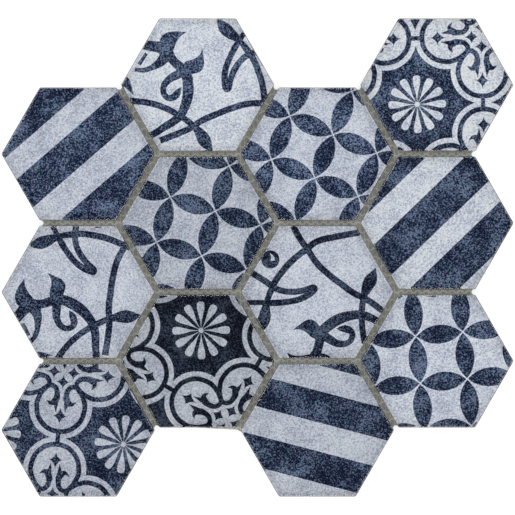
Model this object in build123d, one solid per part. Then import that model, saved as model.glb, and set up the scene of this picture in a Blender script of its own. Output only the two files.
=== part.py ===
from build123d import *

import math
import os

# Sheet of hexagonal glass mosaic tiles bonded face up on a woven backing mesh.
# The tiles are clear float glass printed on the back.  They stand in four columns of three on a
# honeycomb pitch, with every second column raised by half a pitch, and an open mesh of flat yarns
# under their backs holds them at the width of a grout joint.
# Frame: millimetres, +Z up, X across the columns, Y along them, origin under the middle of the sheet.

# One tile
TILE_ACROSS_FLATS = 76.0
GLASS_THICKNESS = 6.0
EDGE_ROUND = 0.9
FACE_CORNER_RADIUS = 0.6

# The honeycomb
COLUMNS = 4
ROWS = 3
GROUT_JOINT = 3.0

# The backing mesh
WARP_PITCH = 4.9
WEFT_PITCH = 2.45
YARN_WIDTH = 0.9
WEFT_THICKNESS = 0.2
WARP_THICKNESS = 0.2
MESH_MARGIN = 1.0

# Worked out from the sizes above
ROW_PITCH = TILE_ACROSS_FLATS + GROUT_JOINT
COLUMN_PITCH = ROW_PITCH * math.sqrt(3) / 2
GLASS_SEAT = WEFT_THICKNESS + WARP_THICKNESS
TILE_CORNER_RADIUS = FACE_CORNER_RADIUS + EDGE_ROUND


def hexagon(across_flats):
    """A regular hexagon with two flats level and two corners on the X axis."""
    return RegularPolygon(across_flats / 2, 6, major_radius=False)


def tile_centre(column, row):
    """The place of one tile, columns counted from -X and rows from +Y."""
    x = (column - (COLUMNS - 1) / 2) * COLUMN_PITCH
    raised = 1 if column % 2 else -1
    y = ((ROWS - 1) / 2 - row + raised / 4) * ROW_PITCH
    return x, y


def tile_places():
    """Column, row and centre of each tile of the sheet."""
    return [(column, row, tile_centre(column, row)) for column in range(COLUMNS) for row in range(ROWS)]


def glass_tile():
    """One tile on its own axis: rounded corners in plan and a rounded top edge."""
    plan = hexagon(TILE_ACROSS_FLATS)
    plan = fillet(plan.vertices(), TILE_CORNER_RADIUS)
    block = extrude(plan, amount=GLASS_THICKNESS)
    top_edges = block.faces().sort_by(Axis.Z)[-1].edges()
    return fillet(top_edges, EDGE_ROUND)


def mesh_outline():
    """The mesh is cut along the honeycomb, a margin inside the outer edges of the tiles."""
    cells = [Pos(*centre) * hexagon(ROW_PITCH) for _, _, centre in tile_places()]
    honeycomb = Sketch() + cells
    return offset(honeycomb, amount=-(GROUT_JOINT / 2 + MESH_MARGIN), kind=Kind.INTERSECTION)


def yarns(outline, along, pitch, thickness, level):
    """Flat parallel yarns spaced from the middle, cut to the outline, without the loose short ends."""
    box = outline.bounding_box()
    reach = box.size.X if along == Axis.Y else box.size.Y
    middle = box.center()
    either_side = int(reach / 2 / pitch)
    strips = []
    for number in range(-either_side, either_side + 1):
        place = number * pitch
        if along == Axis.Y:
            strips.append(Pos(middle.X + place, middle.Y) * Rectangle(YARN_WIDTH, box.size.Y))
        else:
            strips.append(Pos(middle.X, middle.Y + place) * Rectangle(box.size.X, YARN_WIDTH))
    cut = outline & (Sketch() + strips)
    shortest = 2 * WARP_PITCH * YARN_WIDTH
    kept = Sketch() + [face for face in cut.faces() if face.area > shortest]
    return Pos(0, 0, level) * extrude(kept, amount=thickness)


def build():
    """Every node of the sheet, by name."""
    tile = glass_tile()
    nodes = {}
    for column, row, (x, y) in tile_places():
        nodes[f"glass_tile_column_{column + 1}_row_{row + 1}"] = Pos(x, y, GLASS_SEAT) * tile
    outline = mesh_outline()
    nodes["mesh_weft_yarns"] = yarns(outline, Axis.Y, WEFT_PITCH, WEFT_THICKNESS, 0)
    nodes["mesh_warp_yarns"] = yarns(outline, Axis.X, WARP_PITCH, WARP_THICKNESS, WEFT_THICKNESS)
    return nodes


os.makedirs("parts", exist_ok=True)
for name, solid in build().items():
    export_step(solid, f"parts/{name}.step")
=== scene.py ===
import math

import bpy
from bpy.props import FloatProperty, FloatVectorProperty, PointerProperty
from bpy.types import Operator, Panel, PropertyGroup
from mathutils import Matrix, Vector


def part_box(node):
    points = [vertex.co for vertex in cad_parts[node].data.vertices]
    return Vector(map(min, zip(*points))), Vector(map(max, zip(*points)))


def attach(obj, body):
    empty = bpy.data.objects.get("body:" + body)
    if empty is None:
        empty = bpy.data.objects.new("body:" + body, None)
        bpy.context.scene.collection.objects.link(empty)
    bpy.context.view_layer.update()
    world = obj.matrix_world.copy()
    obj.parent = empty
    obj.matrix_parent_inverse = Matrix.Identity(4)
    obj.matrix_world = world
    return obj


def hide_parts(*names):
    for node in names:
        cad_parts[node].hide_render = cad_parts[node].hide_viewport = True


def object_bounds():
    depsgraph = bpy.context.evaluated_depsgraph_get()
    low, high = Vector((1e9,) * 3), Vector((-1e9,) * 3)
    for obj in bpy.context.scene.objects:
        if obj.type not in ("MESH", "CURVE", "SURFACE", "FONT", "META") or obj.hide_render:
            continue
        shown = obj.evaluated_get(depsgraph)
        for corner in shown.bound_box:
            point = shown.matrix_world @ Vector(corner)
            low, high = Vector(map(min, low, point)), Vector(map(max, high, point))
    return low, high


bl_info = {
    "name": "Printed Glass Mosaic Sheet",
    "version": (1, 0, 0),
    "blender": (4, 5, 0),
    "location": "View3D > Sidebar > Mosaic",
    "description": "Prints, backing net and stage for a sheet of hexagonal glass mosaic tiles",
    "category": "Object",
}

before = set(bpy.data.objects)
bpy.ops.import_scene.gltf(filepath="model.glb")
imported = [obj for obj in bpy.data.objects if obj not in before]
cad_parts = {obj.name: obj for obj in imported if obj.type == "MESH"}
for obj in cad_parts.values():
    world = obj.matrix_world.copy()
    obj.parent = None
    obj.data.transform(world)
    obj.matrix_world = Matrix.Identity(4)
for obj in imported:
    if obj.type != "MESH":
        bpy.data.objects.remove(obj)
CAD_BOX = [list(corner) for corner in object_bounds()]
MM = 0.001
COLUMNS = (1, 2, 3, 4)
ROWS = (1, 2, 3)

# Each tile: column, row, tone of its ground and of its ink, turn of its print in degrees, and then the edges
# of its stripes across the turn or the place of the print's middle, in millimetres. The tones are partly the
# tile's own tone and partly painted light, brighter toward the top and the right of the sheet
STRIPE_TILES = [
    (1, 1, 1.01, 1.06, 41.0, [(-60.0, -21.7), (-6.1, 12.35), (25.8, 60.0)]),
    (4, 2, 1.15, 0.95, 44.0, [(-36.0, -16.25), (-3.4, 16.0), (31.4, 60.0)]),
    (3, 3, 0.93, 0.85, -14.7, [(-29.15, -11.75), (4.3, 21.8), (36.0, 60.0)]),
]
PETAL_TILES = [
    (2, 2, 0.91, 0.82, -17.0, (-15.7, 14.8)),
    (3, 1, 1.02, 1.10, -23.0, (-15.7, 21.7)),
    (4, 3, 1.06, 0.90, 5.5, (-12.0, 14.0)),
]
FLOWER_TILES = [
    (4, 1, 1.25, 0.97, 1.5, (-11.2, -11.0)),
    (2, 3, 0.85, 0.30, -29.0, (1.9, 17.5)),
    (1, 3, 0.89, 0.76, -5.5, (25.8, -8.2)),
]
VINE_TILES = [
    (2, 1, 1.16, 0.98, 0.0, (2.4, 0.7)),
    (1, 2, 0.99, 0.77, 60.0, (-0.8, 0.8)),
    (3, 2, 1.0, 0.58, 121.0, (3.3, -11.7)),
]

# Marks whose middle lies farther from the middle of a tile than this miss it, in millimetres
MARK_REACH = 58.0
KNOT_REACH = 80.0

# Stripes are long enough to cross a tile at any turn
STRIPE_LENGTH = 130.0

# The vine's strokes as x, y and width in millimetres
VINE_STEM = [
    (-21, 20, 7.5), (-17, 14, 5.2), (-12, 9, 5.6), (-9, 5, 6), (-8, 0, 6.2), (-8, -6, 6.2), (-9.5, -12, 5.5),
    (-12.5, -18, 5), (-17, -22, 4.6), (-22, -25, 4.3), (-26.5, -28, 4), (-33, -31, 4),
]
VINE_TENDRILS = [
    [(-46, -9.5, 3.7), (-40, -9.8, 3.7), (-30, -11, 3.6), (-22, -13.5, 3.6), (-14, -17.5, 3.6),
     (-8, -21.5, 3.6), (-4, -25, 3.8), (0, -30, 6.8), (2.6, -34.3, 6.4), (6.5, -39.2, 0.2)],
    [(-24, -32.5, 3.7), (-15, -29, 3.7), (-6, -25, 3.7), (0, -21, 3.7), (8, -17.5, 3.7), (17, -14, 3.7),
     (26, -11.5, 3.7), (35, -11, 3.7), (45, -10.5, 3.7), (53, -11, 3.7)],
    [(28.4, -41.8, 3.7), (33.7, -27.6, 3.7), (36.6, -17.7, 3.7), (36, -11, 3.7), (34.5, 0, 3.7),
     (32, 8, 3.7), (29.3, 14.3, 3.7), (25.4, 20, 3.7), (21.3, 24.8, 3.6), (15, 30, 7), (11.4, 33.6, 5.4),
     (8.2, 37.6, 0.2)],
    [(14, -2.5, 4.5), (13, 3, 3.8), (13.7, 9, 3.6), (16, 15, 3.5), (19, 21, 3.7), (22.5, 26.5, 3),
     (27, 34, 3), (31, 41, 3)],
    [(14.8, -2.5, 4.5), (16.5, 3, 3.6), (19.5, 9.5, 3.6), (23.5, 14.5, 3.5), (28, 17.3, 3.7), (32, 19, 3.7),
     (40, 23, 3.7), (47, 26, 3.7)],
    [(-20, 20, 8), (-25, 21, 6.5), (-31, 22, 5.6), (-38, 23, 5.2), (-46, 24.5, 5)],
    [(-20.4, 19.4, 7), (-22.2, 14.2, 6), (-28, 9.7, 3.6), (-34, 7.8, 2.8), (-38.5, 8.3, 2.4)],
    [(-36, 11, 2), (-31.8, 17.4, 2)],
    [(-10, 7, 5), (-15, 4.8, 5), (-20, 1.5, 4), (-22.2, -3.2, 3.4), (-21, -6.8, 3.4), (-18, -8.2, 3.6),
     (-15, -6.5, 4.2), (-13.3, -4, 3), (-11.8, -1.7, 0.2)],
    [(-46, 4, 5), (-43, 0, 4.5), (-39, -6.5, 0.2)],
]
VINE_GLINT = [(44.6, 8.6, 0.4), (42.2, 8.4, 1.6), (40.2, 9.4, 2.4)]

# The vine's filled shapes as x, y and whether the point is a sharp tip
VINE_HORN = [
    (0.3, 20, True), (0.9, 15, False), (1, 10, False), (-1, 7, False), (-5, 5.8, False), (-9, 5, False),
    (-12, 8.5, False), (-10, 12.3, False), (-4.5, 14.3, False), (-1.5, 16.5, False),
]
VINE_LEAF = [
    (-9, 29.6, True), (-16.6, 30, False), (-21.5, 28.6, False), (-24.2, 24.6, False), (-23.4, 19.5, False),
    (-20, 16, False), (-16.8, 18.8, False), (-15, 23, False), (-12.8, 26.6, False),
]

# The vine's round marks as x, y and radius
VINE_TIP = (14.4, -2.2, 2.6)
VINE_BERRY = (41.5, 10.2, 5.2)

# One lobe of the quatrefoil: the left half of its ring, opening upward, and the marks inside it
RING_RADIUS = 13.8
RING_WIDTH = 2.8
LOBE_HALF = [
    (-8.6, 3.6, 0.3), (-5.7, 2.2, 2.7), (-3.4, 3.9, 3.8), (-2.7, 7.5, 3.1), (-3.8, 10.9, 2.8),
    (-6.8, 12.3, 2.7), (-10.0, 9.9, 2.7), (-12.7, 5.4, 2.8), (-RING_RADIUS, 0.0, RING_WIDTH),
    (-9.76, -9.76, RING_WIDTH),
]
LOBE_THORN = [(3.4, 5.0, 2.2), (3.0, 2.0, 2.5), (2.6, -3.0, 0.2)]
STAR_TIPS = [(0, 5.4), (4.1, 0), (0, -4.6), (-4.1, 0)]
STAR_DROP = 5.0
SEED_TIPS = [(0, 4.1), (4.1, 0), (0, -4.1), (-4.1, 0)]
SEED_DROP = 5.6
SIDE_PULL = 0.55
TIE_WIDTH = 2.5
TIE_LAP = 1.2
KNOT_RADIUS = 5.0

# The daisy: the lower side of a petal along X from its tip to its round end, and its eye
DAISY_PETALS = 12
DAISY_TIP = (0.5, 0.0, True)
DAISY_SIDE = [(5.0, -0.4, False), (9.5, -1.4, False), (13.8, -2.15, False)]
DAISY_END = (0.5, 1.7)
DAISY_EYE = 1.5


def length(name, text, millimetres):
    """A size in the panel, written in millimetres and kept in metres."""
    return FloatProperty(
        name=name,
        description=text,
        default=millimetres * MM,
        min=0.0,
        precision=5,
        subtype="DISTANCE",
        unit="LENGTH",
    )


def colour(name, text, value):
    """A colour in the panel, as linear red, green and blue."""
    return FloatVectorProperty(
        name=name, description=text, default=value, min=0.0, max=1.0, size=3, subtype="COLOR"
    )


class MosaicSizes(PropertyGroup):
    print_height: length("Print height", "Clear glass between the back of a tile and its print", 0.03)
    ground_thickness: length("Ground coat", "Thickness of the pale coat behind the ink", 0.04)
    ink_thickness: length("Ink", "Thickness of the ink that stands out of the ground coat", 0.03)
    print_inset: length("Print inset", "Bare rim between the print and the side of a tile", 0.35)
    petal_pitch: length("Petal pitch", "Distance between the crossings of the petal print", 27.0)
    petal_gap: length("Petal gap", "How far each petal stops short of its crossing", 0.5)
    flower_pitch: length("Flower pitch", "Distance between the daisies of the flower print", 75.5)
    lobe_reach: length("Lobe reach", "Distance of a lobe from the middle of its quatrefoil", 20.2)
    lobe_band: length("Lobe band", "Outer radius of the pale band round a lobe", 18.1)
    daisy_radius: length("Daisy radius", "Length of a daisy petal from the middle", 16.5)
    yarn_pitch: length("Yarn pitch", "Distance between the yarns of the net", 4.9)
    weft_width: length("Weft width", "Width of the flat yarns that run up the sheet", 0.9)
    warp_width: length("Warp width", "Width of the yarns that wind across the sheet", 0.9)
    warp_swing: length("Warp swing", "Sideways swing of a winding yarn", 1.5)
    adhesive_lap: length("Adhesive lap", "How far the adhesive of a joint reaches under the tiles", 1.2)
    adhesive_top: length("Adhesive top", "Height of the adhesive in the joints above the net's back", 0.24)


class MosaicColours(PropertyGroup):
    glass: colour("Glass", "Tint of the clear glass", (0.935, 0.962, 0.962))
    # Painted shade: a dark tint on the cut sides that shades the tile rims and the joints
    glass_edge_painted_shade: colour("Glass edge", "Tint of the glass along its cut sides", (0.13, 0.122, 0.115))
    ground_light: colour("Ground light", "Palest tone of the ground coat", (0.95, 0.965, 1.0))
    ground: colour("Ground", "Middle tone of the ground coat", (0.775, 0.805, 0.91))
    ground_dark: colour("Ground dark", "Shaded tone of the ground coat", (0.45, 0.475, 0.57))
    ink_light: colour("Ink light", "Worn, palest tone of the ink", (0.265, 0.33, 0.455))
    ink: colour("Ink", "Middle tone of the ink", (0.062, 0.086, 0.164))
    ink_dark: colour("Ink dark", "Densest tone of the ink", (0.006, 0.011, 0.036))
    # Painted shade: the yarn colours are the cream yarn darkened to its look in the shade of the joints
    yarn: colour("Yarn", "Colour of the net's yarns", (0.41, 0.42, 0.36))
    yarn_shade: colour("Yarn shade", "Colour between the fibres of a yarn", (0.25, 0.255, 0.20))
    # Painted shade: the adhesive colours are dark to stand in for the shade in the joints
    adhesive: colour("Adhesive", "Colour of the adhesive in the joints", (0.24, 0.248, 0.22))
    adhesive_shade: colour("Adhesive shade", "Darker patches of the adhesive", (0.132, 0.137, 0.112))
    floor: colour("Floor", "Colour of the floor", (0.98, 0.98, 0.98))


def sizes():
    return bpy.context.scene.mosaic_sizes


def colours():
    return bpy.context.scene.mosaic_colours


def rgba(value):
    return (*value, 1.0)


def grey(level):
    return (level, level, level)


def tile_name(column, row):
    return f"glass_tile_column_{column}_row_{row}"


def box_mm(name):
    """The low and high corners of a CAD node's box, in millimetres."""
    low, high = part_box(name)
    return low / MM, high / MM


# Selecting and shaping

DOUBLES = 1e-4


def alone(*objects):
    """Select just these objects and make the first of them active."""
    bpy.ops.object.select_all(action="DESELECT")
    for item in objects:
        item.select_set(True)
    bpy.context.view_layer.objects.active = objects[0]


def joined(objects):
    alone(*objects)
    bpy.ops.object.join()
    return bpy.context.object


def discard(item):
    bpy.data.objects.remove(item)


def settle(item):
    """Put an object's place, turn and scale in its mesh."""
    alone(item)
    bpy.ops.object.transform_apply(location=True, rotation=True, scale=True)


def placed(item, turn=0.0, shift=(0.0, 0.0)):
    """Turn a piece in the plane, shift it, and put the place in its mesh."""
    item.rotation_euler = (0, 0, math.radians(turn))
    item.location = (shift[0], shift[1], item.location.z)
    settle(item)
    return item


def lowered(item, depth):
    item.location.z = -depth
    return placed(item)


def copied(item, turn=0.0, shift=(0.0, 0.0)):
    """A copy with its own mesh, turned and shifted."""
    alone(item)
    bpy.ops.object.duplicate(linked=False)
    return placed(bpy.context.object, turn, shift)


def named(item, name):
    item.name = name
    item.data.name = name


def coat(item, material):
    """Give a piece this material alone."""
    item.data.materials.clear()
    item.data.materials.append(material)


def open_mesh(item):
    """Open a mesh for editing with everything selected."""
    alone(item)
    bpy.ops.object.mode_set(mode="EDIT")
    bpy.ops.mesh.select_all(action="SELECT")


def close_mesh():
    """Turn every face of the open mesh outward and close it."""
    bpy.ops.mesh.select_all(action="SELECT")
    bpy.ops.mesh.normals_make_consistent(inside=False)
    bpy.ops.object.mode_set(mode="OBJECT")


def as_mesh(item):
    """Turn a curve into a mesh without doubles, and leave it open with everything selected."""
    alone(item)
    bpy.ops.object.convert(target="MESH")
    item = bpy.context.object
    open_mesh(item)
    bpy.ops.mesh.remove_doubles(threshold=DOUBLES)
    return item


def thicken(item, height):
    """Turn a flat curve lying at zero into a closed plate of this height."""
    plate = as_mesh(item)
    bpy.ops.mesh.extrude_region_move(TRANSFORM_OT_translate={"value": (0, 0, height)})
    close_mesh()
    return plate


def combine(first, second, operation):
    """Union, difference or intersection of two closed plates; the second is used up."""
    alone(first)
    cut = first.modifiers.new("combine", "BOOLEAN")
    cut.solver = "MANIFOLD"
    cut.operation = operation
    cut.object = second
    bpy.ops.object.modifier_apply(modifier=cut.name)
    discard(second)
    if not first.data.polygons:
        raise RuntimeError(f"nothing is left of {first.name}")
    return first


def united(plates):
    first = plates[0]
    for plate in plates[1:]:
        combine(first, plate, "UNION")
    return first


# Shapes of the prints, drawn flat in millimetres about the middle of a tile

INK_HEIGHT = 0.05
CUT_HEIGHT = 0.2
CURVE_STEPS = 7
ARC_STEPS = 16
QUARTER_ARC = 0.5523
ROUND_SIDES = 64
HEXAGON_TURN = 30


def new_path(count):
    """A curve of this many points, and its line."""
    bpy.ops.object.select_all(action="DESELECT")
    bpy.ops.curve.primitive_bezier_curve_add()
    path = bpy.context.object
    line = path.data.splines[0]
    line.bezier_points.add(count - 2)
    return path, line


def filled_path(count, steps):
    """A closed curve of this many points that is filled inside, and its line."""
    path, line = new_path(count)
    path.data.dimensions = "2D"
    path.data.fill_mode = "BOTH"
    path.data.resolution_u = steps
    line.use_cyclic_u = True
    return path, line


def handles(point, kind):
    point.handle_left_type = kind
    point.handle_right_type = kind


def sweep(path, section, steps):
    """Carry a section along a path, level all the way."""
    path.data.twist_mode = "Z_UP"
    path.data.bevel_mode = "OBJECT"
    path.data.bevel_object = section
    path.data.resolution_u = steps


def stroke(points, height=INK_HEIGHT):
    """A brush stroke along smooth points, each with its own width."""
    nib, edge = new_path(2)
    for point, x in zip(edge.bezier_points, (-0.5, 0.5)):
        point.co = (x, 0, 0)
        handles(point, "VECTOR")
    nib.data.resolution_u = 1
    path, line = new_path(len(points))
    for point, (x, y, width) in zip(line.bezier_points, points):
        point.co = (x, y, 0)
        point.radius = width
        handles(point, "AUTO")
    line.radius_interpolation = "CARDINAL"
    sweep(path, nib, CURVE_STEPS)
    plate = thicken(path, height)
    discard(nib)
    return plate


def outline(points, height=INK_HEIGHT):
    """A filled shape inside a smooth closed line; a true mark makes its point a sharp tip."""
    path, line = filled_path(len(points), CURVE_STEPS)
    for point, (x, y, tip) in zip(line.bezier_points, points):
        point.co = (x, y, 0)
        handles(point, "VECTOR" if tip else "AUTO")
    return thicken(path, height)


def tipped(tips, pull, height=INK_HEIGHT):
    """A star whose sides sink toward the middle between its tips."""
    path, line = filled_path(len(tips), CURVE_STEPS)
    for point, (x, y) in zip(line.bezier_points, tips):
        handles(point, "FREE")
        point.co = (x, y, 0)
        point.handle_left = (x * pull, y * pull, 0)
        point.handle_right = (x * pull, y * pull, 0)
    return thicken(path, height)


def lens(span, height=INK_HEIGHT):
    """A pointed petal along X between two quarter arcs."""
    path, line = filled_path(2, ARC_STEPS)
    half = span / 2
    for point, x in zip(line.bezier_points, (-half, half)):
        handles(point, "FREE")
        point.co = (x, 0, 0)
        side = math.copysign(QUARTER_ARC * half, x)
        point.handle_left = (x - side, side, 0)
        point.handle_right = (x - side, -side, 0)
    return thicken(path, height)


def disc(x, y, radius, height=INK_HEIGHT):
    bpy.ops.object.select_all(action="DESELECT")
    bpy.ops.mesh.primitive_cylinder_add(
        vertices=ROUND_SIDES, radius=radius, depth=height, location=(x, y, height / 2)
    )
    return placed(bpy.context.object, 0, (x, y))


def bar(across, along, turn, shift, height=INK_HEIGHT):
    bpy.ops.object.select_all(action="DESELECT")
    bpy.ops.mesh.primitive_cube_add(size=1, location=(0, 0, height / 2))
    item = bpy.context.object
    item.scale = (along, across, height)
    return placed(item, turn, shift)


def hexagonal_block(across_flats, depth, middle=0.0, shift=(0.0, 0.0)):
    """A hexagonal block with two flats level, its middle at this height."""
    bpy.ops.object.select_all(action="DESELECT")
    bpy.ops.mesh.primitive_cylinder_add(
        vertices=6, radius=across_flats / 2 / math.cos(math.pi / 6), depth=depth, location=(0, 0, middle)
    )
    return placed(bpy.context.object, HEXAGON_TURN, shift)


def print_blank(height):
    """The outline of a tile less the bare rim round its print, as a plate."""
    low, high = box_mm(tile_name(1, 1))
    return hexagonal_block(high.y - low.y - 2 * sizes().print_inset / MM, height, height / 2)


# Finishing a print

INK_OVERLAP = 0.01


def finish_print(ink, column, row, tones_with_painted_light):
    """Trim the ink to the tile, lay it on the ground coat and place both on the back of the glass."""
    size = sizes()
    combine(ink, lowered(print_blank(CUT_HEIGHT), CUT_HEIGHT / 2), "INTERSECT")
    low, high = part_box(tile_name(column, row))
    middle = (low + high) / 2
    ground_low = size.print_height / MM
    ground_depth = size.ground_thickness / MM
    ink.scale = (1, 1, (size.ink_thickness / MM + INK_OVERLAP) / INK_HEIGHT)
    ink.location.z = ground_low + ground_depth - INK_OVERLAP
    placed(ink)
    ground = print_blank(ground_depth)
    ground.location.z = ground_low
    placed(ground)
    coat(ink, ink_material())
    coat(ground, ground_material())
    piece = joined([ground, ink])
    named(piece, f"print_column_{column}_row_{row}")
    piece.scale = (MM, MM, MM)
    piece.location = (middle.x, middle.y, low.z)
    settle(piece)
    # Per-face tone: the tile's own tone together with painted light, brighter toward the top and the right
    # of the sheet
    shade = piece.data.attributes.new("tone", "FLOAT", "FACE")
    shade.data.foreach_set("value", [tones_with_painted_light[face.material_index] for face in piece.data.polygons])
    open_mesh(piece)
    close_mesh()
    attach(piece, "root")


# Materials

PER_METRE = 1000.0


def new_material(name):
    material = bpy.data.materials.new(name)
    material.use_nodes = True
    tree = material.node_tree
    tree.nodes.clear()
    output = tree.nodes.new("ShaderNodeOutputMaterial")
    surface = tree.nodes.new("ShaderNodeBsdfPrincipled")
    tree.links.new(surface.outputs["BSDF"], output.inputs["Surface"])
    return material, tree, surface


def feed(tree, socket, value):
    """Link a socket to another node's output, or set it to a plain value."""
    if isinstance(value, (int, float, tuple)):
        socket.default_value = value
    else:
        tree.links.new(value, socket)


def object_place(tree):
    return tree.nodes.new("ShaderNodeTexCoord").outputs["Object"]


def in_millimetres(tree, place):
    scale = tree.nodes.new("ShaderNodeVectorMath")
    scale.operation = "SCALE"
    feed(tree, scale.inputs["Scale"], PER_METRE)
    feed(tree, scale.inputs[0], place)
    return scale.outputs["Vector"]


def height_of(tree, place):
    split = tree.nodes.new("ShaderNodeSeparateXYZ")
    feed(tree, split.inputs[0], place)
    return split.outputs["Z"]


def noise(tree, vector, scale, detail, roughness):
    node = tree.nodes.new("ShaderNodeTexNoise")
    feed(tree, node.inputs["Scale"], scale)
    feed(tree, node.inputs["Detail"], detail)
    feed(tree, node.inputs["Roughness"], roughness)
    feed(tree, node.inputs["Vector"], vector)
    return node.outputs["Fac"]


def math_node(tree, operation, first, second, clamp=False):
    node = tree.nodes.new("ShaderNodeMath")
    node.operation = operation
    node.use_clamp = clamp
    feed(tree, node.inputs[0], first)
    feed(tree, node.inputs[1], second)
    return node.outputs[0]


def weighted(tree, first, second, share):
    """The first value by its share and the second by the rest."""
    part = math_node(tree, "MULTIPLY", first, share)
    rest = math_node(tree, "MULTIPLY", second, 1.0 - share)
    return math_node(tree, "ADD", part, rest)


def remap(tree, value, low, high):
    node = tree.nodes.new("ShaderNodeMapRange")
    node.interpolation_type = "SMOOTHSTEP"
    feed(tree, node.inputs["From Min"], low)
    feed(tree, node.inputs["From Max"], high)
    feed(tree, node.inputs["Value"], value)
    return node.outputs["Result"]


def ramp(tree, value, stops):
    node = tree.nodes.new("ShaderNodeValToRGB")
    band = node.color_ramp
    while len(band.elements) < len(stops):
        band.elements.new(0.5)
    for element, (place, tint) in zip(band.elements, stops):
        element.position = place
        element.color = rgba(tint)
    feed(tree, node.inputs["Fac"], value)
    return node.outputs["Color"]


def blend(tree, factor, first, second, mode="MIX", clamp=False):
    """Mix two colours; sockets 0, 6 and 7 are the factor and the colours, and output 2 the result."""
    node = tree.nodes.new("ShaderNodeMix")
    node.data_type = "RGBA"
    node.blend_type = mode
    node.clamp_result = clamp
    feed(tree, node.inputs[0], factor)
    feed(tree, node.inputs[6], first)
    feed(tree, node.inputs[7], second)
    return node.outputs[2]


def marked(tree, base, mask, strength, tint):
    """A colour with marks of another where the mask says so."""
    return blend(tree, math_node(tree, "MULTIPLY", mask, strength), base, rgba(tint))


def roughen(tree, surface, height, strength, distance):
    bump = tree.nodes.new("ShaderNodeBump")
    feed(tree, bump.inputs["Strength"], strength)
    feed(tree, bump.inputs["Distance"], distance)
    feed(tree, bump.inputs["Height"], height)
    feed(tree, surface.inputs["Normal"], bump.outputs["Normal"])


# The marks of a printed coat: name, then the scale per millimetre, detail and roughness of its noise
PRINT_MARKS = (
    ("Cloud", 0.06, 4.0, 0.62),
    ("Grain", 1.2, 1.0, 0.8),
    ("Specks", 1.35, 2.0, 0.6),
    ("Drift", 0.3, 3.0, 0.7),
)


def print_grain():
    """Clouds, grain, specks and drifts of colour in a coat printed through a screen."""
    group = bpy.data.node_groups.get("print_grain")
    if group:
        return group
    group = bpy.data.node_groups.new("print_grain", "ShaderNodeTree")
    group.interface.new_socket("Place", in_out="INPUT", socket_type="NodeSocketVector")
    for name, *_ in PRINT_MARKS:
        group.interface.new_socket(name, in_out="OUTPUT", socket_type="NodeSocketFloat")
    start = group.nodes.new("NodeGroupInput")
    end = group.nodes.new("NodeGroupOutput")
    place = in_millimetres(group, start.outputs["Place"])
    for name, scale, detail, roughness in PRINT_MARKS:
        feed(group, end.inputs[name], noise(group, place, scale, detail, roughness))
    return group


def print_marks(tree):
    node = tree.nodes.new("ShaderNodeGroup")
    node.node_tree = print_grain()
    feed(tree, node.inputs["Place"], object_place(tree))
    return node.outputs


def toned_with_painted_light(tree, base):
    """Each tile's coat made lighter or darker by its tone: partly the tile's own tone, partly painted light
    that is brighter toward the top and the right of the sheet.
    """
    tone = tree.nodes.new("ShaderNodeAttribute")
    tone.attribute_name = "tone"
    # The tone attribute carries painted light as well as the tile's own tone
    return blend(tree, 1.0, base, tone.outputs["Color"], "MULTIPLY", clamp=True)


def finish_coat(tree, surface, base, cast, roughness):
    """Drift of colour, and the tile's tone with its painted light, over a coat that lies against the glass.
    """
    base = toned_with_painted_light(tree, blend(tree, 1.0, base, cast, "MULTIPLY"))
    feed(tree, surface.inputs["Base Color"], base)
    feed(tree, surface.inputs["Roughness"], roughness)
    feed(tree, surface.inputs["Specular IOR Level"], 0.0)


def ink_material():
    """Navy ink with dense and worn patches, pale flecks and dark pits."""
    material = bpy.data.materials.get("navy_ink")
    if material:
        return material
    material, tree, surface = new_material("navy_ink")
    tint = colours()
    marks = print_marks(tree)
    wear = weighted(tree, marks["Grain"], marks["Cloud"], 0.55)
    base = ramp(tree, wear, [(0.488, tint.ink_dark), (0.528, tint.ink), (0.566, tint.ink_light)])
    base = marked(tree, base, remap(tree, marks["Specks"], 0.56, 0.66), 0.7, tint.ink_light)
    base = marked(tree, base, remap(tree, marks["Specks"], 0.47, 0.38), 0.95, tint.ink_dark)
    cast = ramp(tree, marks["Drift"], [(0.40, (0.98, 0.88, 1.0)), (0.62, (0.82, 0.98, 1.0))])
    finish_coat(tree, surface, base, cast, 0.6)
    return material


def ground_material():
    """Pale grey coat, mottled, with a few dark specks."""
    material = bpy.data.materials.get("pale_ground")
    if material:
        return material
    material, tree, surface = new_material("pale_ground")
    tint = colours()
    marks = print_marks(tree)
    mottle = weighted(tree, marks["Grain"], marks["Cloud"], 0.65)
    base = ramp(tree, mottle, [(0.39, tint.ground_dark), (0.5, tint.ground), (0.6, tint.ground_light)])
    base = marked(tree, base, remap(tree, marks["Specks"], 0.42, 0.33), 0.55, tint.ink)
    cast = ramp(tree, marks["Drift"], [(0.38, (1.0, 0.98, 0.98)), (0.62, (0.95, 0.975, 1.0))])
    finish_coat(tree, surface, base, cast, 0.7)
    return material


def glass_material():
    """Clear glass with a fire-polished face that is not quite flat, and cut sides tinted dark as painted
    shade along the tile rims and in the joints.
    """
    material, tree, surface = new_material("clear_glass")
    tint = colours()
    place = object_place(tree)
    roughen(tree, surface, noise(tree, place, 45.0, 2.0, 0.5), 0.05, 0.4 * MM)
    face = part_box(tile_name(1, 1))[1].z
    # Painted shade: below the face the glass takes the dark edge tint, which shades the rims and the joints
    face_clear_of_painted_shade = remap(tree, height_of(tree, place), face - 0.12 * MM, face - 0.02 * MM)
    base = blend(tree, face_clear_of_painted_shade, rgba(tint.glass_edge_painted_shade), rgba(tint.glass))
    feed(tree, surface.inputs["Base Color"], base)
    feed(tree, surface.inputs["Roughness"], 0.0)
    feed(tree, surface.inputs["IOR"], 1.51)
    feed(tree, surface.inputs["Transmission Weight"], 1.0)
    return material


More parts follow.
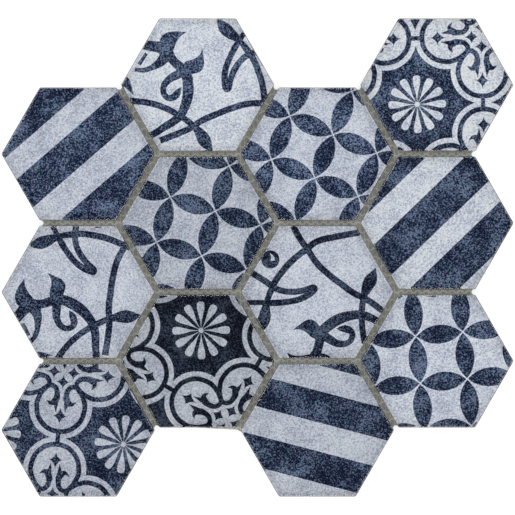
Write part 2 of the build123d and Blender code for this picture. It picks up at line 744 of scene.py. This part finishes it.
def mottled_material(name, shade, light, fineness, relief):
    """A dull uneven surface between two tones, its marks sized in millimetres."""
    material, tree, surface = new_material(name)
    place = in_millimetres(tree, object_place(tree))
    fine = noise(tree, place, fineness, 3.0, 0.6)
    patches = noise(tree, place, 0.15, 2.0, 0.5)
    base = ramp(tree, weighted(tree, fine, patches, 0.6), [(0.38, shade), (0.60, light)])
    feed(tree, surface.inputs["Base Color"], base)
    feed(tree, surface.inputs["Roughness"], 0.55)
    roughen(tree, surface, fine, 0.5, relief)
    return material


# Operators


class MOSAIC_OT_glass(Operator):
    """Give the tiles their clear glass"""

    bl_idname = "mosaic.glass"
    bl_label = "Clear Glass"

    def execute(self, context):
        material = glass_material()
        for column in COLUMNS:
            for row in ROWS:
                coat(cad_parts[tile_name(column, row)], material)
        return {"FINISHED"}


class MOSAIC_OT_stripe_prints(Operator):
    """Print the striped tiles"""

    bl_idname = "mosaic.stripe_prints"
    bl_label = "Stripe Prints"

    def execute(self, context):
        for column, row, *tones_with_painted_light, turn, edges in STRIPE_TILES:
            across = Vector((-math.sin(math.radians(turn)), math.cos(math.radians(turn))))
            bands = [bar(high - low, STRIPE_LENGTH, turn, across * (low + high) / 2) for low, high in edges]
            finish_print(united(bands), column, row, tones_with_painted_light)
        return {"FINISHED"}


class MOSAIC_OT_petal_prints(Operator):
    """Print the tiles of overlapping circles"""

    bl_idname = "mosaic.petal_prints"
    bl_label = "Petal Prints"

    def execute(self, context):
        size = sizes()
        pitch = size.petal_pitch / MM
        petal = lens(pitch - 2 * size.petal_gap / MM)
        for column, row, *tones_with_painted_light, turn, crossing in PETAL_TILES:
            lattice = Matrix.Rotation(math.radians(turn), 2)
            petals = []
            for i in range(-3, 5):
                for j in range(-4, 4):
                    for along, step in ((0.0, (i + 0.5, j)), (90.0, (i, j + 0.5))):
                        spot = Vector(crossing) + lattice @ (Vector(step) * pitch)
                        if spot.length < MARK_REACH:
                            petals.append(copied(petal, turn + along, spot))
            finish_print(joined(petals), column, row, tones_with_painted_light)
        discard(petal)
        return {"FINISHED"}


class MOSAIC_OT_flower_prints(Operator):
    """Print the tiles of daisies and quatrefoils"""

    bl_idname = "mosaic.flower_prints"
    bl_label = "Flower Prints"

    def daisy(self):
        reach = sizes().daisy_radius / MM
        back, half_width = DAISY_END
        lower = [*DAISY_SIDE, (reach - back, -half_width, False)]
        upper = [(x, -y, tip) for x, y, tip in reversed(lower)]
        petal = outline([DAISY_TIP, *lower, (reach, 0.0, False), *upper], CUT_HEIGHT)
        petals = [copied(petal, 360 / DAISY_PETALS * number) for number in range(DAISY_PETALS)]
        discard(petal)
        return lowered(united([*petals, disc(0, 0, DAISY_EYE, CUT_HEIGHT)]), CUT_HEIGHT / 2)

    def band(self):
        """The pale bands round the lobes of one quatrefoil."""
        size = sizes()
        reach = size.lobe_reach / MM
        ends = ((reach, 0), (0, reach), (-reach, 0), (0, -reach))
        lobes = [disc(x, y, size.lobe_band / MM, CUT_HEIGHT) for x, y in ends]
        return lowered(united([*lobes, disc(0, 0, KNOT_RADIUS, CUT_HEIGHT)]), CUT_HEIGHT / 2)

    def quatrefoil(self):
        size = sizes()
        reach = size.lobe_reach / MM
        link = size.flower_pitch / MM / 2 - reach - RING_RADIUS
        other_half = [(-x, y, width) for x, y, width in reversed(LOBE_HALF)]
        ring = stroke([*LOBE_HALF, (0.0, -RING_RADIUS, RING_WIDTH), *other_half])
        thorns = [stroke([(side * x, y, width) for x, y, width in LOBE_THORN]) for side in (-1, 1)]
        star = placed(tipped(STAR_TIPS, SIDE_PULL), 0, (0.0, -STAR_DROP))
        seed = placed(tipped(SEED_TIPS, SIDE_PULL), 0, (0.0, reach - SEED_DROP))
        tie = bar(TIE_WIDTH, link + TIE_LAP, 90, (0.0, -RING_RADIUS - link / 2))
        lobe = placed(united([ring, *thorns, star, seed, tie]), 0, (0.0, -reach))
        lobes = [copied(lobe, 90.0 * number) for number in range(4)]
        discard(lobe)
        return united(lobes)

    def execute(self, context):
        pitch = sizes().flower_pitch / MM
        daisy = self.daisy()
        band = self.band()
        quatrefoil = self.quatrefoil()
        for column, row, *tones_with_painted_light, turn, middle in FLOWER_TILES:
            lattice = Matrix.Rotation(math.radians(turn), 2)
            field = print_blank(INK_HEIGHT)
            lines = []
            for i in (-2, -1, 0, 1):
                for j in (-2, -1, 0, 1):
                    flower = Vector(middle) + lattice @ (Vector((i, j)) * pitch)
                    if flower.length < MARK_REACH:
                        combine(field, copied(daisy, turn, flower), "DIFFERENCE")
                    knot = Vector(middle) + lattice @ (Vector((i + 0.5, j + 0.5)) * pitch)
                    if knot.length < KNOT_REACH:
                        combine(field, copied(band, turn, knot), "DIFFERENCE")
                        lines.append(copied(quatrefoil, turn, knot))
            finish_print(united([field, *lines]), column, row, tones_with_painted_light)
        for item in (daisy, band, quatrefoil):
            discard(item)
        return {"FINISHED"}


class MOSAIC_OT_vine_prints(Operator):
    """Print the tiles of scrolling vines"""

    bl_idname = "mosaic.vine_prints"
    bl_label = "Vine Prints"

    def execute(self, context):
        strokes = [stroke(VINE_STEM), *(stroke(points) for points in VINE_TENDRILS)]
        glint = lowered(stroke(VINE_GLINT, CUT_HEIGHT), CUT_HEIGHT / 2)
        berry = combine(disc(*VINE_BERRY), glint, "DIFFERENCE")
        vine = united([*strokes, outline(VINE_HORN), outline(VINE_LEAF), disc(*VINE_TIP), berry])
        for column, row, *tones_with_painted_light, turn, shift in VINE_TILES:
            finish_print(copied(vine, turn, shift), column, row, tones_with_painted_light)
        discard(vine)
        return {"FINISHED"}


# The backing net, in millimetres

CELL_OVERLAP = 0.02
BLANK_DEPTH = 2
CUTTER_DEPTH = 4
WEFT_THICKNESS = 0.16
WEFT_LEVEL = 0.19
WARP_THICKNESS = 0.17
WARP_LEVELS = ((1, 0.31), (-1, 0.09))
YARN_STEPS = 2
ADHESIVE_FOOT = 0.03


def cells(across_flats, depth):
    """A hexagonal block at the place of each tile."""
    blocks = []
    for column in COLUMNS:
        for row in ROWS:
            low, high = box_mm(tile_name(column, row))
            blocks.append(hexagonal_block(across_flats, depth, shift=((low + high) / 2).xy))
    return blocks


def honeycomb():
    """The net's blank: the tiles' cells grown together, with a margin cut back all round."""
    low, high = box_mm(tile_name(1, 1))
    pitch = high.y - box_mm(tile_name(1, 2))[1].y
    joint = pitch - (high.y - low.y)
    margin = box_mm("mesh_weft_yarns")[0].y - box_mm(tile_name(1, 3))[0].y
    blank = united(cells(pitch + CELL_OVERLAP, BLANK_DEPTH))
    open_mesh(blank)
    bpy.ops.mesh.dissolve_limited(angle_limit=0.01)
    bpy.ops.mesh.select_mode(type="FACE")
    bpy.ops.mesh.select_all(action="DESELECT")
    bpy.ops.object.mode_set(mode="OBJECT")
    for face in blank.data.polygons:
        face.select = face.normal.z < 0.5
    bpy.ops.object.mode_set(mode="EDIT")
    bpy.ops.mesh.delete(type="FACE")
    bpy.ops.mesh.select_all(action="SELECT")
    bpy.ops.mesh.inset(thickness=joint / 2 + margin, use_even_offset=True)
    bpy.ops.mesh.select_all(action="INVERT")
    bpy.ops.mesh.delete(type="FACE")
    bpy.ops.mesh.select_all(action="SELECT")
    bpy.ops.mesh.extrude_region_move(TRANSFORM_OT_translate={"value": (0, 0, -BLANK_DEPTH)})
    bpy.ops.mesh.select_mode(type="VERT")
    close_mesh()
    return blank


class MOSAIC_OT_backing_net(Operator):
    """Knit the backing net in place of the plain yarns"""

    bl_idname = "mosaic.backing_net"
    bl_label = "Backing Net"

    def yarn(self, points, width, thickness, level):
        """A flat yarn along these points, thinner toward its edges."""
        bpy.ops.object.select_all(action="DESELECT")
        bpy.ops.curve.primitive_bezier_circle_add()
        section = bpy.context.object
        section.data.resolution_u = 1
        section.scale = (width / 2, thickness / 2, 1)
        bpy.ops.object.transform_apply(location=False, rotation=False, scale=True)
        path, line = new_path(len(points))
        for point, (x, y) in zip(line.bezier_points, points):
            point.co = (x, y, level)
            handles(point, "AUTO")
        sweep(path, section, YARN_STEPS)
        path.data.use_fill_caps = True
        yarn = as_mesh(path)
        close_mesh()
        discard(section)
        return yarn

    def row_of(self, yarn, step, count):
        """Repeat a yarn across the sheet."""
        alone(yarn)
        array = yarn.modifiers.new("row", "ARRAY")
        array.count = count
        array.use_relative_offset = False
        array.use_constant_offset = True
        array.constant_offset_displace = (step[0], step[1], 0)
        bpy.ops.object.modifier_apply(modifier=array.name)
        return yarn

    def wefts(self, step):
        """Straight yarns up the sheet, with one in the middle, and the place of the first."""
        low, high = box_mm("mesh_weft_yarns")
        either_side = round(high.x / step)
        first = -either_side * step
        weft = self.yarn([(0, low.y), (0, high.y)], sizes().weft_width / MM, WEFT_THICKNESS, WEFT_LEVEL)
        placed(weft, 0, (first, 0))
        return self.row_of(weft, (step, 0), 2 * either_side + 1), first

    def warps(self, step, first_weft):
        """Pairs of yarns that wind across the sheet, one over the wefts and one under them."""
        size = sizes()
        low, high = box_mm("mesh_warp_yarns")
        either_side = round(high.y / step)
        swing = size.warp_swing / MM / 2
        turns = int((high.x - low.x) / step) + 1
        rows = []
        for side, level in WARP_LEVELS:
            points = []
            for number in range(2 * turns + 1):
                x = first_weft - step * 0.25 + (number - 1) * step / 2
                points.append((x, -either_side * step + side * swing * (1 if number % 2 else -1)))
            warp = self.yarn(points, size.warp_width / MM, WARP_THICKNESS, level)
            rows.append(self.row_of(warp, (0, step), 2 * either_side + 1))
        return rows

    def execute(self, context):
        tint = colours()
        step = sizes().yarn_pitch / MM
        weft, first_weft = self.wefts(step / 2)
        net = joined([weft, *self.warps(step, first_weft)])
        combine(net, honeycomb(), "INTERSECT")
        named(net, "backing_net")
        # The yarn's colours hold painted shade: the cream yarn darkened as it looks in the shaded joints
        coat(net, mottled_material("net_yarn_painted_shade", tint.yarn_shade, tint.yarn, 3.5, 0.05 * MM))
        net.scale = (MM, MM, MM)
        settle(net)
        bpy.ops.object.shade_smooth_by_angle(angle=math.radians(50))
        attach(net, "root")
        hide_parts("mesh_warp_yarns", "mesh_weft_yarns")
        return {"FINISHED"}


class MOSAIC_OT_joint_adhesive_painted_shade(Operator):
    """Fill the net along the joints with the adhesive that holds the tiles, coloured dark as painted shade
    in the joints
    """

    bl_idname = "mosaic.joint_adhesive"
    bl_label = "Joint Adhesive"

    def execute(self, context):
        size = sizes()
        tint = colours()
        low, high = box_mm(tile_name(1, 1))
        strips = honeycomb()
        for block in cells(high.y - low.y - 2 * size.adhesive_lap / MM, CUTTER_DEPTH):
            combine(strips, block, "DIFFERENCE")
        named(strips, "joint_adhesive")
        # Painted shade: the adhesive's dark colours stand in for the shade in the joints, where the floor
        # would show
        coat(strips, mottled_material("adhesive", tint.adhesive_shade, tint.adhesive, 0.9, 0.2 * MM))
        depth = size.adhesive_top - ADHESIVE_FOOT * MM
        strips.scale = (MM, MM, depth / BLANK_DEPTH)
        strips.location.z = size.adhesive_top - depth / 2
        settle(strips)
        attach(strips, "root")
        return {"FINISHED"}


# The stage, in metres

FLOOR_SIZE = 8.0
FLOOR_GAP = 0.0001
FLOOR_GLOW = 0.5
DOME_STRENGTH = 2.6
DOME_BANDS = ((0.0, 0.12), (0.4, 0.22), (0.55, 1.0), (0.82, 1.0), (0.94, 0.03))
SOFTBOX_SIZE = (2.4, 1.6)
SOFTBOX_HEIGHT = 1.4
SOFTBOXES = (
    ("softbox_upper_left", -0.9, 0.8, 60.0),
    ("softbox_lower_right", 0.9, -0.8, 50.0),
    ("softbox_upper_right", 0.9, 0.8, 40.0),
    ("softbox_lower_left", -0.9, -0.8, 34.0),
)
CAMERA_DISTANCE = 2.8
CAMERA_REACH = 50.0
SENSOR_WIDTH = 36.0
FRAME_TO_SHEET = 515 / 511.5


class MOSAIC_OT_stage(Operator):
    """Lay the floor, light the sheet and set the camera over it"""

    bl_idname = "mosaic.stage"
    bl_label = "Stage"

    def floor(self):
        """A pale floor that glows a little where it is seen, and still takes the sheet's shadow."""
        bpy.ops.object.select_all(action="DESELECT")
        bpy.ops.mesh.primitive_plane_add(size=FLOOR_SIZE, location=(0, 0, 0))
        plane = bpy.context.object
        plane.name = "floor"
        material, tree, surface = new_material("pale_floor")
        feed(tree, surface.inputs["Base Color"], rgba(colours().floor))
        feed(tree, surface.inputs["Roughness"], 0.9)
        feed(tree, surface.inputs["Specular IOR Level"], 0.0)
        glow = tree.nodes.new("ShaderNodeEmission")
        path = tree.nodes.new("ShaderNodeLightPath")
        seen = math_node(tree, "MAXIMUM", path.outputs["Is Camera Ray"], path.outputs["Is Glossy Ray"])
        seen = math_node(tree, "MAXIMUM", seen, path.outputs["Is Transmission Ray"])
        shares = tree.nodes.new("ShaderNodeMixShader")
        feed(tree, shares.inputs["Fac"], math_node(tree, "MULTIPLY", seen, FLOOR_GLOW))
        feed(tree, shares.inputs[1], surface.outputs["BSDF"])
        feed(tree, shares.inputs[2], glow.outputs["Emission"])
        feed(tree, tree.nodes["Material Output"].inputs["Surface"], shares.outputs["Shader"])
        coat(plane, material)
        plane.location.z = CAD_BOX[0][2] - FLOOR_GAP
        settle(plane)

    def dome(self):
        """A soft dome, brightest halfway up and dim straight above and at the horizon."""
        world = bpy.data.worlds.new("studio_dome")
        bpy.context.scene.world = world
        world.use_nodes = True
        tree = world.node_tree
        tree.nodes.clear()
        direction = tree.nodes.new("ShaderNodeTexCoord").outputs["Generated"]
        bands = [(height, grey(level)) for height, level in DOME_BANDS]
        shine = tree.nodes.new("ShaderNodeBackground")
        feed(tree, shine.inputs["Strength"], DOME_STRENGTH)
        feed(tree, shine.inputs["Color"], ramp(tree, height_of(tree, direction), bands))
        output = tree.nodes.new("ShaderNodeOutputWorld")
        feed(tree, output.inputs["Surface"], shine.outputs["Background"])

    def softbox(self, name, place, power):
        """A lamp that shows on the glass and lights nothing through it."""
        bpy.ops.object.select_all(action="DESELECT")
        bpy.ops.object.light_add(type="AREA", location=place)
        lamp = bpy.context.object
        lamp.name = name
        lamp.data.shape = "RECTANGLE"
        lamp.data.size, lamp.data.size_y = SOFTBOX_SIZE
        lamp.data.energy = power
        lamp.visible_diffuse = False
        lamp.visible_transmission = False
        lamp.data.use_nodes = True
        tree = lamp.data.node_tree
        path = tree.nodes.new("ShaderNodeLightPath")
        outside = math_node(tree, "SUBTRACT", 1.0, path.outputs["Transmission Depth"], clamp=True)
        feed(tree, tree.nodes["Emission"].inputs["Strength"], outside)
        lamp.rotation_mode = "QUATERNION"
        lamp.rotation_quaternion = (-Vector(place)).to_track_quat("-Z", "Y")

    def camera(self):
        low, high = Vector(CAD_BOX[0]), Vector(CAD_BOX[1])
        middle = (low + high) / 2
        shown = (high.x - low.x) * FRAME_TO_SHEET
        bpy.ops.object.select_all(action="DESELECT")
        bpy.ops.object.camera_add(
            location=(middle.x, middle.y, high.z + CAMERA_DISTANCE), rotation=(0, 0, 0)
        )
        camera = bpy.context.object
        camera.name = "camera"
        camera.data.sensor_width = SENSOR_WIDTH
        camera.data.lens = SENSOR_WIDTH * CAMERA_DISTANCE / shown
        camera.data.clip_end = CAMERA_REACH
        bpy.context.scene.camera = camera

    def execute(self, context):
        self.floor()
        self.dome()
        for name, x, y, power in SOFTBOXES:
            self.softbox(name, (x, y, SOFTBOX_HEIGHT), power)
        self.camera()
        context.scene.view_settings.view_transform = "Standard"
        return {"FINISHED"}


class MOSAIC_PT_sheet(Panel):
    """The steps and settings of the mosaic sheet"""

    bl_label = "Glass Mosaic Sheet"
    bl_idname = "MOSAIC_PT_sheet"
    bl_space_type = "VIEW_3D"
    bl_region_type = "UI"
    bl_category = "Mosaic"

    def draw(self, context):
        layout = self.layout
        for step in STEPS:
            layout.operator(step.bl_idname)
        for settings in (context.scene.mosaic_sizes, context.scene.mosaic_colours):
            box = layout.box()
            for name in settings.__annotations__:
                box.prop(settings, name)


STEPS = (
    MOSAIC_OT_glass,
    MOSAIC_OT_stripe_prints,
    MOSAIC_OT_petal_prints,
    MOSAIC_OT_flower_prints,
    MOSAIC_OT_vine_prints,
    MOSAIC_OT_backing_net,
    MOSAIC_OT_joint_adhesive_painted_shade,
    MOSAIC_OT_stage,
)
CLASSES = (MosaicSizes, MosaicColours, *STEPS, MOSAIC_PT_sheet)


def register():
    for item in CLASSES:
        bpy.utils.register_class(item)
    bpy.types.Scene.mosaic_sizes = PointerProperty(type=MosaicSizes)
    bpy.types.Scene.mosaic_colours = PointerProperty(type=MosaicColours)


def unregister():
    del bpy.types.Scene.mosaic_colours
    del bpy.types.Scene.mosaic_sizes
    for item in reversed(CLASSES):
        bpy.utils.unregister_class(item)


def main():
    register()
    bpy.ops.mosaic.glass()
    bpy.ops.mosaic.stripe_prints()
    bpy.ops.mosaic.petal_prints()
    bpy.ops.mosaic.flower_prints()
    bpy.ops.mosaic.vine_prints()
    bpy.ops.mosaic.backing_net()
    bpy.ops.mosaic.joint_adhesive()
    bpy.ops.mosaic.stage()


if __name__ == "__main__":
    main()
